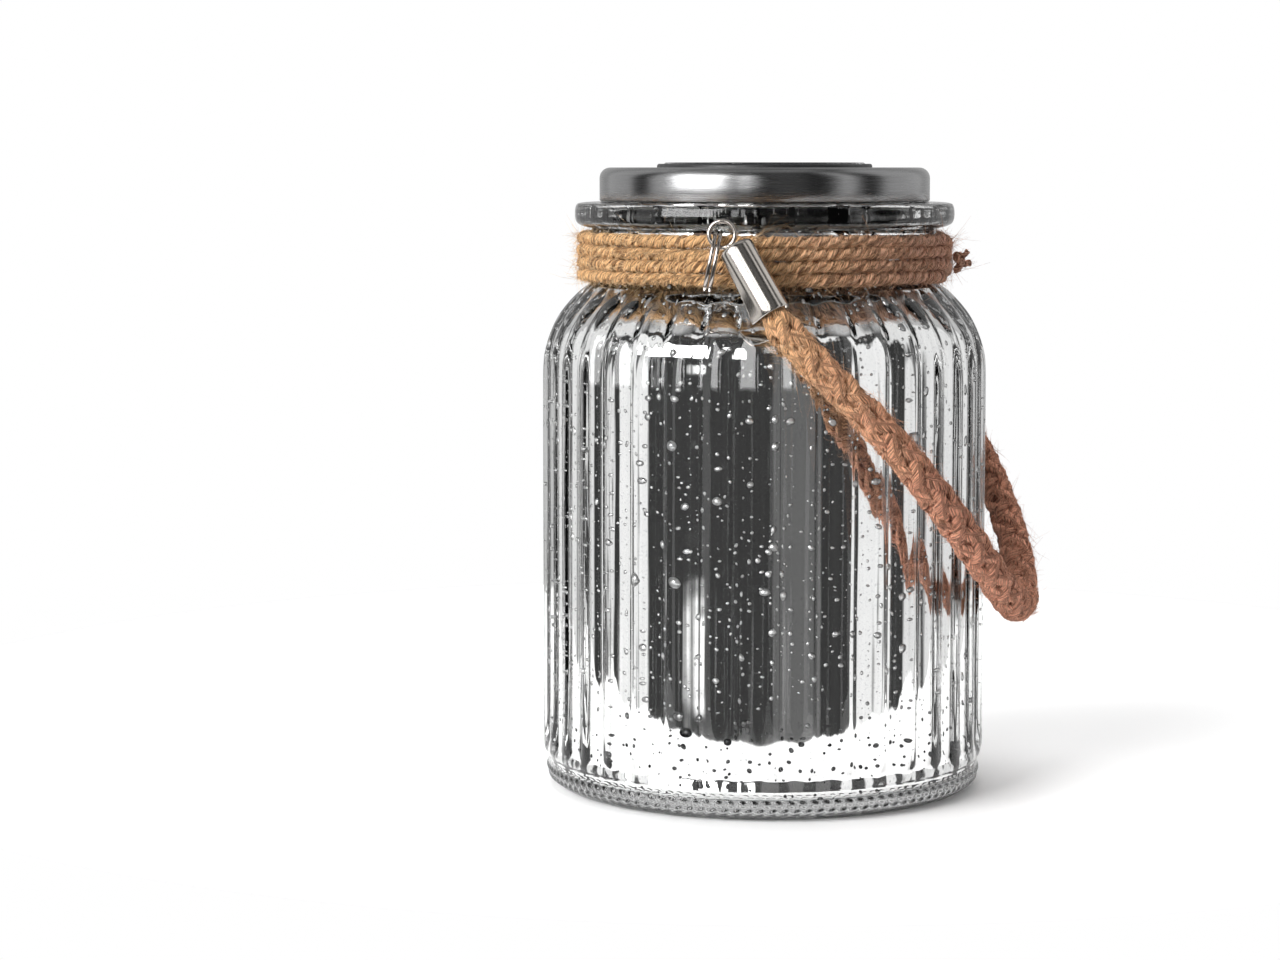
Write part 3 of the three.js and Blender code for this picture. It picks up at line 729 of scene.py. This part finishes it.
def hairs(roots, outward, forward, count, length, thick, rng, lift=0.55, curl=0.5):
    """Fine loose fibres, each a thin tapered tube of three sides. Millimetres."""
    pick = rng.integers(0, len(roots), count)
    root, up, ahead = roots[pick], outward[pick], forward[pick]
    ahead = ahead * rng.choice([-1.0, 1.0], count)[:, None]
    side = np.cross(up, ahead)
    long = length[0] + (length[1] - length[0]) * rng.random(count) ** 2.2
    rise = lift * (0.15 + rng.random(count) ** 1.5)
    swing = rng.normal(0, 0.6, count)
    bend = rng.normal(0, curl, (count, 3))
    steps = np.linspace(0, 1, HAIR_RINGS)
    parts = []
    for t in steps:
        out = root - 0.12 * up
        out = out + (t * long)[:, None] * (ahead + swing[:, None] * side)
        out = out + (rise * long * (t - 0.45 * t * t))[:, None] * up
        out = out + (0.35 * long * t * t)[:, None] * bend
        parts.append(out)
    line = np.stack(parts, 1)
    tangent = unit(line[:, -1] - line[:, 0])
    a = unit(np.cross(tangent, (0.23, 0.61, 0.76)))
    b = np.cross(tangent, a)
    width = thick * (0.7 + 0.6 * rng.random(count))
    points = []
    for k, t in enumerate(steps):
        w = (width * (1 - 0.75 * t))[:, None]
        for turn in circle(3):
            points.append(line[:, k] + w * (math.cos(turn) * a + math.sin(turn) * b))
    points = np.stack(points, 1)
    base = np.arange(count)[:, None] * 3 * HAIR_RINGS
    sides = [base + side for side in grid_faces(HAIR_RINGS, 3)]
    faces = np.concatenate(sides).tolist()
    tip = 3 * HAIR_RINGS - 3
    faces += (base + (2, 1, 0)).tolist()
    faces += (base + (tip, tip + 1, tip + 2)).tolist()
    lay = np.zeros((count, 3 * HAIR_RINGS, 3))
    lay[:, :, 0] = (np.repeat(steps, 3)[None, :] * long[:, None]) * MM
    lay[:, :, 1] = rng.random(count)[:, None] * 0.01
    return points.reshape(-1, 3), faces, lay.reshape(-1, 3)


def add_jute_piece(name, parts, material, body, slot, *nodes):
    points, faces, lay = join_parts(parts)
    piece = add_piece(name, points, faces, material, body, slot, *nodes)
    attribute = piece.data.attributes.new("lay", "FLOAT_VECTOR", "POINT")
    attribute.data.foreach_set("vector", np.asarray(lay, dtype=np.float32).ravel())
    return piece


TWINE_MM = {"turns": 4, "pitch": 2.62, "r": 39.3, "ride": 1.75, "top": 119.35}
TWINE_STEP = 30 * DEGREE  # where each turn steps down to the next
TWINE_RIDES = (8 * DEGREE, 13 * DEGREE)  # it stands off this near a ring, then eases back
PLY_MM = {"offset": 0.62, "size": 0.76, "pitch": -8.5, "lobe_pitch": -4.4}
KNOT_AT = 9 * DEGREE


def twine_line():
    t = np.linspace(0, 1, 1700)
    a = TWINE_STEP / 2 + t * (TWINE_MM["turns"] * TAU - TWINE_STEP)
    turn = np.floor((a + TAU / 2) / TAU)
    level = turn - 1 + smooth_step((a - turn * TAU + TWINE_STEP / 2) / TWINE_STEP)
    polar = a + KNOT_AT
    from_ring = np.arcsin(np.abs(np.cos(polar)))
    ride = 1 - smooth_step((from_ring - TWINE_RIDES[0]) / TWINE_RIDES[1])
    radius = TWINE_MM["r"] + TWINE_MM["ride"] * ride
    height = TWINE_MM["top"] - TWINE_MM["pitch"] * level
    return about_z(radius, polar, height)


def add_twine(material, loose):
    rng = np.random.default_rng(11)
    path = twine_line()
    path[:, 2] += wander(len(path), 110, 0.17, rng)
    path[:, :2] *= (1 + wander(len(path), 110, 0.0018, rng))[:, None]
    frames = travelling_frames(path)
    plies = [
        yarn(path, frames, PLY_MM["offset"], PLY_MM["size"], 10, k * TAU / 3, PLY_MM["pitch"], rng,
             lobe_depth=0.20, lobe_pitch=PLY_MM["lobe_pitch"])
        for k in range(3)
    ]
    add_jute_piece("twine_wrap", plies, material, "jar", "jute", "neck_twine")
    from_jar = unit(path * (1, 1, 0))
    out = unit(any_outward(frames, rng) + 0.9 * from_jar)
    fuzz = hairs(path + 1.25 * out, out, frames[0], 8200, (1.2, 6.0), 0.042, rng, lift=0.36, curl=0.6)
    add_jute_piece("twine_fuzz", [fuzz], loose, "jar", "jute")


KNOT_MM = {"out": 42.15, "z": 114.4}
KNOT_STRETCH = (1.3, 0.62, 0.78)


def add_knot(material):
    """An overhand knot with two short frayed tails, at the right of the neck."""
    rng = np.random.default_rng(5)
    t = np.linspace(0, TAU, 140)
    across, up = np.sin(t) + 1.5 * np.sin(2 * t), np.cos(t) - 1.5 * np.cos(2 * t)
    trefoil = np.stack([np.cos(3 * t) * 0.42, across, up], 1) * KNOT_STRETCH
    tails = [catmull([(0.2, 0.6, -0.5), (1.4, 1.0, -0.6), (2.6, 1.0, -0.4)], 12),
             catmull([(0.0, -0.4, 0.8), (1.0, -0.8, 1.2), (1.9, -1.0, 2.2)], 12)]
    parts = []
    for line, size in ((trefoil, 0.8), (tails[0], 0.72), (tails[1], 0.6)):
        frames = travelling_frames(line)
        parts += [yarn(line, frames, size * 0.45, size * 0.62, 8, k * TAU / 3, 5.0, rng) for k in range(3)]
    turn = np.array(Matrix.Rotation(KNOT_AT, 3, "Z"))
    centre = about_z(KNOT_MM["out"], np.array([KNOT_AT]), KNOT_MM["z"])[0]
    parts = [(points @ turn.T + centre, faces, lay) for points, faces, lay in parts]
    roots = np.concatenate([p for p, _, _ in parts])
    outward = unit(roots - centre)
    forward = np.cross(outward, (0.1, 0.2, 0.97))
    parts.append(hairs(roots, outward, forward, 240, (0.6, 2.4), 0.03, rng, lift=0.9))
    add_jute_piece("twine_knot_tied", parts, material, "jar", "jute", "twine_knot")


# ---- handle ----
PIVOT_MM = (45.0, 121.0)
FERRULE_MM = {"r": 3.6, "wall": 0.35, "length": 16.2, "start": 3.5, "beside": 1.3, "y": 46.2}
FERRULE_TILT = 32 * DEGREE
FERRULE_OUT_MM = 2.4
SEAM_TURN = 17 * DEGREE
SEAM_WIDTH = (10 * DEGREE, 34 * DEGREE)  # at the top, and how much it gains down to the mouth
SEAM_FROM_MM = 1.5  # the seam shows outside this radius
ROPE_LINE_MM = [
    (17.6, 49.2, 23.2), (25.0, 48.8, 30.6), (34.8, 45.6, 41.2), (42.9, 39.4, 52.4),
    (49.2, 30.6, 63.2), (54.0, 18.4, 73.6), (56.0, 6.4, 79.4),
]
ROPE_R_MM = 3.7
ROPE_END_R_MM = 2.85
ROPE_STUB_MM = 3.0  # how far it goes on inside each ferrule
BRAID_MM = {
    "step": 0.45, "lay": 31.0, "reach": 2.50, "over": 0.30, "thick": 0.95, "wide": 1.42, "core": 2.1,
}
STRAND_SIDES = 12


def ferrule_frame(side):
    """Top centre and direction of a ferrule; side is -1 at the front and 1 at the back."""
    s, c = math.sin(FERRULE_TILT), math.cos(FERRULE_TILT)
    start, beside = FERRULE_MM["start"], FERRULE_MM["beside"]
    top = np.array([start * s + beside * c, side * FERRULE_MM["y"], PIVOT_MM[1] - start * c + beside * s])
    aim = np.array([FERRULE_MM["length"] * s, side * FERRULE_OUT_MM, -FERRULE_MM["length"] * c])
    return top, aim / np.linalg.norm(aim)


def rope_route():
    ends = []
    for side in (-1, 1):
        top, aim = ferrule_frame(side)
        mouth = top + aim * (FERRULE_MM["length"] + 0.3)
        ends.append((mouth, mouth + 2.5 * aim))
    half = [[(x, side * y, PIVOT_MM[1] - drop) for x, y, drop in ROPE_LINE_MM] for side in (-1, 1)]
    (front, front_on), (back, back_on) = ends
    return catmull([front, front_on, *half[0], *half[1][::-1], back_on, back])


def strand(path, frames, girth, hand, k, rng):
    """One of the braid's strands, which rises over and dips under those of the other hand."""
    _, n, b = frames
    s = along(path)
    angles = circle(STRAND_SIDES)
    u = TAU * s / BRAID_MM["lay"]
    turn = hand * u + k * TAU / 4 + wander(len(s), 60, 0.09, rng)
    over = hand * np.cos(4 * u + wander(len(s), 50, 0.35, rng))
    reach = girth * (BRAID_MM["reach"] + BRAID_MM["over"] * over)
    radial = np.cos(turn)[:, None] * n + np.sin(turn)[:, None] * b
    middle = path + reach[:, None] * radial
    t = unit(np.gradient(middle, axis=0))
    up = unit(radial - t * np.sum(radial * t, axis=1)[:, None])
    across = np.cross(t, up)
    twist = TAU * s[:, None] / (3.6 * hand) + k
    lobe = 1 + 0.13 * np.cos(3 * (angles[None, :] - twist)) + rng.normal(0, 0.05, (len(s), STRAND_SIDES))
    size = (girth * (1 + wander(len(s), 70, 0.06, rng)))[:, None] * lobe
    ring = BRAID_MM["thick"] * np.cos(angles)[None, :, None] * up[:, None, :]
    ring = ring + BRAID_MM["wide"] * np.sin(angles)[None, :, None] * across[:, None, :]
    points = (middle[:, None, :] + size[:, :, None] * ring).reshape(-1, 3)
    from_start = np.repeat(s, STRAND_SIDES)
    around = np.tile(angles * 1.2, len(s)) - from_start * 1.3
    lay = np.stack([from_start, around, np.full(len(points), 10.0 * hand + k)], 1) * (MM, MM, 1)
    return points, tube_faces(len(s), STRAND_SIDES), lay


def add_rope(material, loose):
    """Eight flat strands braided round a core, drawn in where the ferrules grip them."""
    rng = np.random.default_rng(23)
    route = resample(rope_route(), 1.0)
    ends = [ferrule_frame(side)[1] for side in (-1, 1)]
    stubs = [route[end] - ROPE_STUB_MM * aim for end, aim in zip((0, -1), ends)]
    path = resample(np.array([stubs[0], *route, stubs[1]]), BRAID_MM["step"])
    frames = travelling_frames(path)
    s = along(path)
    inward = np.minimum(s, s[-1] - s)
    grip = (ROPE_END_R_MM - 0.05) / ROPE_R_MM
    girth = grip + (1 - grip) * smooth_step((inward - ROPE_STUB_MM + 0.2) / 3.2)
    girth = girth * (1 + wander(len(s), 26, 0.018, rng))
    parts = [strand(path, frames, girth, hand, k, rng) for hand in (1, -1) for k in range(4)]
    core, quads = sweep(path, BRAID_MM["core"] * girth, STRAND_SIDES, frames)
    parts.append((core, quads, core * MM))
    rope = add_jute_piece("rope_braid", parts, material, "handle", "jute_rope", "handle_rope")
    out = any_outward(frames, rng)
    free = inward > ROPE_STUB_MM + 0.4
    fibres = []
    for depth, look, bends in (
        (3.35, (8600, (1.0, 4.6), 0.044), {"lift": 0.32}),
        (3.3, (130, (4.5, 10.0), 0.045), {"lift": 0.35, "curl": 0.35}),
    ):
        roots = path + (depth * girth)[:, None] * out
        fibres.append(hairs(roots[free], out[free], frames[0][free], *look, rng, **bends))
    fuzz = add_jute_piece("rope_fuzz", fibres, loose, "handle", "jute_rope")


def add_ferrule(name, side, material, node):
    """Cord end cap: rounded top, open mouth and a folded seam that widens towards it."""
    top, aim = ferrule_frame(side)
    r, wall, length = FERRULE_MM["r"], FERRULE_MM["wall"], FERRULE_MM["length"]
    bend = [(r - 1.1 + 1.1 * math.sin(a), -1.1 + 1.1 * math.cos(a)) for a in np.linspace(0, TAU / 4, 7)]
    outside = [(0.01, 0), (1.2, 0), *bend, (r, -length * 0.3), (r, -length * 0.6), (r, -length + 0.25),
               (r - 0.1, -length)]
    inside = [(r - wall, -length), (r - wall, -length * 0.6), (r - wall, -1.6), (r - wall - 0.5, -0.8),
              (1.2, -wall), (0.01, -wall)]
    profile = refine(np.array(outside + inside), 1.2)
    sides = 96
    angles = circle(sides)
    seam = math.pi - side * SEAM_TURN
    rings = []
    for radius, z in profile:
        width = SEAM_WIDTH[0] + SEAM_WIDTH[1] * min(1.0, max(0.0, -z / length))
        away = np.abs((angles - seam + TAU / 2) % TAU - TAU / 2)
        corner = 1 / np.cos(np.maximum(width - away, 0))
        rad = radius * (corner if radius > SEAM_FROM_MM else np.ones(sides))
        rings.append(about_z(rad, angles, z))
    turn = Vector((0, 0, -1)).rotation_difference(Vector(aim)).to_matrix()
    points = np.concatenate(rings) @ np.array(turn).T + top
    faces = [face[::-1] for face in tube_faces(len(rings), sides)]
    add_piece(name, points, faces, material, "handle", "nickel", node)


EYE_MM = {"r": 2.7, "wire": 0.93}


def add_eye(name, side, material, node):
    _, aim = ferrule_frame(side)
    r, wire = EYE_MM["r"], EYE_MM["wire"]
    pivot = np.array([0, side * PIVOT_MM[0], PIVOT_MM[1]])
    a = circle(96)
    tangent = np.stack([-np.sin(a), 0 * a, np.cos(a)], 1)
    outward = np.stack([np.cos(a), 0 * a, np.sin(a)], 1)
    frames = (tangent, outward, np.cross(tangent, outward))
    ring_points, ring_faces = sweep(r * outward + pivot, wire / 2, 16, frames, closed=True)
    stem_line = np.array([pivot + aim * d for d in np.linspace(r - 0.1, FERRULE_MM["start"] + 1.1, 10)])
    flare = np.array([1.0] * 8 + [1.9] * 2) * wire / 2
    stem_points, stem_faces = sweep(stem_line, flare, 16, start=len(ring_points))
    points = np.concatenate([ring_points, stem_points])
    add_piece(name, points, ring_faces + stem_faces, material, "handle", "nickel", node)


RING_MM = {"y": 42.6, "z": 115.4, "x": -2.4, "high": 6.1, "deep": 4.2, "wire": 0.9}
RING_LEAN, RING_YAW, RING_TIP = 11.3 * DEGREE, 11 * DEGREE, 4 * DEGREE
RING_CROSS = 24 * DEGREE  # half of the turn over which the wire crosses to its other coil
RING_OPEN = 30 * DEGREE  # how far each end stops short of two full coils


def add_split_ring(name, side, material, node, body):
    """Two coils side by side, taller than they are deep and squarer on the inner side."""
    apart = RING_MM["wire"] / 2 + 0.06
    t = np.linspace(0, 1, 220)
    a = RING_OPEN + t * (2 * TAU - 2 * RING_OPEN)
    level = 2 * smooth_step((a - TAU + RING_CROSS) / (2 * RING_CROSS)) - 1
    c, s = np.cos(a - 120 * DEGREE), np.sin(a - 120 * DEGREE)
    power = np.where(c < 0, 4.0, 2.0)
    r = (np.abs(c / RING_MM["deep"]) ** power + np.abs(s / RING_MM["high"]) ** power) ** (-1 / power)
    local = np.stack([level * apart, r * c, r * s], 1)
    yaw = math.pi + RING_YAW if side < 0 else -RING_YAW
    turn = Matrix.Rotation(RING_LEAN, 3, "Y") @ Matrix.Rotation(yaw, 3, "Z")
    turn = turn @ Matrix.Rotation(-RING_TIP, 3, "X")
    line = local @ np.array(turn).T + (RING_MM["x"], side * RING_MM["y"], RING_MM["z"])
    points, faces = sweep(line, RING_MM["wire"] / 2, 16)
    add_piece(name, points, faces, material, body, "nickel", node)


# ---- lid ----
CAP_MM = {"r": 35.75, "bottom": 127.2, "top": 134.5, "sheet": 0.6, "edge": 2.3, "hole": 23.9}
PANE_MM = [
    (0, 134.8), (21.7, 134.8), (21.7, 135.3), (21.62, 135.46), (21.4, 135.57), (21.1, 135.6), (0, 135.6),
]
HOUSING_MM = [
    (0, 132.6), (26, 132.6), (26, 114.3), (27.3, 114.3), (27.5, 114.5), (27.5, 132.1), (27.8, 132.4),
    (32.2, 132.4), (32.4, 132.6), (32.4, 133.3), (32.2, 133.5), (23.3, 133.5), (23.3, 134.85),
    (23.18, 135.15), (22.9, 135.3), (22.15, 135.3), (22.0, 135.15), (22.0, 133.9), (0, 133.9),
]


def cap_profile():
    """Even sheet: curled rim, rounded shoulder, and a hole with a turned-down lip."""
    r, bottom, top, sheet, edge, hole = CAP_MM.values()
    c, z = r - edge, top - edge
    bend = [(c + edge * math.cos(a), z + edge * math.sin(a)) for a in np.linspace(0, TAU / 4, 9)]
    inner_r = edge - sheet
    inner = [(c + inner_r * math.cos(a), z + inner_r * math.sin(a)) for a in np.linspace(TAU / 4, 0, 5)]
    curl = [(r - sheet, bottom + 0.3), (r - 0.3, bottom), (r, bottom + 0.3)]
    lip = [(hole + 0.35, top), (hole + 0.05, top - 0.12), (hole, top - 0.3), (hole, top - sheet)]
    return [*curl[1:], (r, 130.5), *bend, (30, top), *lip, *inner, *curl[:2]]


def add_lid(steel, window, black):
    lathe_mm("lid_cap", cap_profile(), 192, steel, "screw_band", "brushed_steel", "lid_cover")
    lathe_mm("panel_pane", PANE_MM, 160, window, "solar_insert", "clear_window", "panel_window")
    lathe_mm("lamp_housing", HOUSING_MM, 160, black, "solar_insert", "black_plastic", "solar_housing")


def dress_cad_nodes(finishes):
    """The CAD nodes that stay get their materials."""
    for material, names in finishes:
        for name in names:
            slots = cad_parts[name].data.materials
            slots.clear()
            slots.append(material)


# ---- stage ----
TABLE = {"r": 0.23, "behind": 0.098, "sides": 160}  # round table top, with its middle behind the jar
TABLE_DROP = 0.00006  # it lies this far under the jar's foot


def add_floor():
    """A plain pale table top. The jar's mirror shows its front edge, with the room beyond it."""
    paint = Paint("floor_paint", Roughness=0.9)
    paint.set(Base_Color=paint.mix(paint.noise(3.0), (0.94, 0.94, 0.94), (0.96, 0.96, 0.96)))
    r, away = TABLE["r"], TABLE["behind"]
    angles = circle(TABLE["sides"])
    rim = about_z(r, angles, -TABLE_DROP) + (-away * FRONT_SIN, away * FRONT_COS, 0)
    add_mesh("floor", rim, [list(range(len(rim)))], [paint.material])


# [strength, azimuth range, height range, softness] in degrees, azimuth from the front, + to the right
ROOM_LIGHTS = [
    (9.0, (-66, -28), (-2, 34), (1.5, 1.0)),  # main soft box
    (4.5, (-18, -9), (-2, 30), (1.5, 1.0)),  # narrow soft box
    (5.0, (-40, -32), (-9.4, -8.7), (4, 1.0)),  # low strip light beyond the table's edge
    (0.95, (-86, -68), (-30, 60), (2, 4)),  # two reflectors at the left
    (0.80, (-140, -104), (-30, 60), (3, 4)),
    (0.10, (4, 30), (-30, 60), (2, 4)),  # dim reflector beside the camera
    (0.95, (52, 68), (-30, 60), (2, 4)),  # two reflectors at the right
    (0.80, (90, 140), (-30, 60), (3, 4)),
    (0.50, (140, 181), (-30, 55), (5, 5)),  # wall behind the jar
    (0.50, (-181, -140), (-30, 55), (5, 5)),
    (0.5, (-181, 181), (68, 91), (1, 6)),  # ceiling
]
ROOM_DARK = 0.045  # the rest of the studio
BACKDROP = 1.0  # what the camera sees past the jar and the table


class Room(Nodes):
    """The world's nodes."""

    def window(self, value, low, high, soft):
        """1 between low and high, with soft edges."""
        up = self.ramp(value, low - soft, low + soft)
        return self.times(up, self.ramp(value, high - soft, high + soft, 1.0, 0.0))

    def azimuth(self, x, y):
        """Degrees round the jar, from the camera's side and growing to its right."""
        right = self.plus(self.times(x, FRONT_COS), self.times(y, FRONT_SIN))
        ahead = self.math("SUBTRACT", self.times(x, FRONT_SIN), self.times(y, FRONT_COS))
        return self.times(self.math("ARCTAN2", right, ahead), 1 / DEGREE)


def add_room():
    """Soft lamps and reflectors in a dark studio. Only the camera sees a plain white backdrop instead."""
    world = bpy.data.worlds.new("studio")
    bpy.context.scene.world = world
    world.use_nodes = True
    world.node_tree.nodes.clear()
    room = Room(world.node_tree)
    place = room.node("TexCoord").outputs["Generated"]
    x, y, z = room.node("SeparateXYZ", {0: place}).outputs
    azimuth = room.azimuth(x, y)
    height = room.times(room.math("ARCSINE", z), 1 / DEGREE)
    level = ROOM_DARK
    for strength, turn, rise, soft in ROOM_LIGHTS:
        sides = room.window(azimuth, *turn, soft[0])
        lamp = room.times(sides, room.window(height, *rise, soft[1]))
        level = room.plus(level, room.times(lamp, strength))
    seen = room.node("LightPath").outputs["Is Camera Ray"]
    level = room.times(level, room.math("SUBTRACT", 1.0, seen))
    level = room.plus(level, room.times(seen, BACKDROP))
    shade = room.node("Background", {"Color": (1, 1, 1, 1), "Strength": level})
    room.node("OutputWorld", {"Surface": shade})


SUNS = (  # name, strength, tilt from straight up, turn from the front and spread, in degrees
    ("lamp_top", 1.75, 14, 175, 50),
    ("lamp_left", 1.45, 55, -50, 40),
)


def add_lights():
    """Two broad soft lamps that light the scene but don't show in the glass."""
    for name, strength, tilt, turn, spread in SUNS:
        data = bpy.data.lights.new(name, "SUN")
        data.energy = strength
        data.angle = spread * DEGREE
        light = bpy.data.objects.new(name, data)
        a, t = turn * DEGREE + FRONT_AZIMUTH, tilt * DEGREE
        source = Vector((math.sin(t) * math.sin(a), -math.sin(t) * math.cos(a), math.cos(t)))
        light.location = source
        light.rotation_euler = (-source).to_track_quat("-Z", "Y").to_euler()
        light.visible_glossy = False
        light.visible_transmission = False
        bpy.context.scene.collection.objects.link(light)


# ---- making ----
add_camera()
rope_jute = jute_material("jute_rope", (0.92, 0.42, 0.27))
loose_jute = fuzz_material()
add_rope(rope_jute, loose_jute)

twine_jute = jute_material("jute_twine", (0.96, 0.54, 0.39))
glass = glass_material()
add_jar(glass, silver_material())
add_glass_thread(glass)
add_twine(twine_jute, loose_jute)
add_knot(twine_jute)

nickel = polished_material("nickel", (0.62, 0.575, 0.53), 0.17)
wire_nickel = polished_material("nickel_wire", (0.55, 0.50, 0.46), 0.12)
for word, side in (("front", -1), ("back", 1)):
    add_ferrule(f"cord_end_{word}", side, nickel, f"ferrule_{word}")
    add_eye(f"loop_{word}", side, wire_nickel, f"eye_{word}")
    add_split_ring(f"ring_wire_{word}", side, wire_nickel, f"split_ring_{word}", f"ring_{word}")

black = plastic_material("black_plastic", (0.012, 0.012, 0.013), 0.42)
white = plastic_material("white_plastic", (0.72, 0.72, 0.69), 0.4)
add_lid(brushed_material(), window_material(), black)
contact_metal = polished_material("contact_metal", (0.62, 0.60, 0.56), 0.2)
screw_steel = polished_material("screw_steel", (0.45, 0.45, 0.46), 0.28)
dress_cad_nodes([
    (black, ["base_cover", "battery_door", "switch_body"]),
    (white, ["thread_liner", "switch_slider"]),
    (plastic_material("gasket_rubber", (0.62, 0.60, 0.55), 0.75, 500.0, 0.0001), ["rim_gasket"]),
    (cell_material(), ["solar_cell"]),
    (board_material(), ["circuit_board"]),
    (plastic_material("wire_red", (0.45, 0.015, 0.012), 0.4), ["wire_red"]),
    (plastic_material("wire_black", (0.012, 0.012, 0.012), 0.4), ["wire_black"]),
    (battery_material(), ["battery"]),
    (contact_metal, ["contact_flat", "contact_spring"]),
    (screw_steel, ["cover_screw_1", "cover_screw_2", "door_screw"]),
    (lens_material(), ["led_1", "led_2", "led_3", "led_4"]),
])

add_floor()
add_room()
add_lights()
bpy.context.scene.view_settings.view_transform = "Standard"
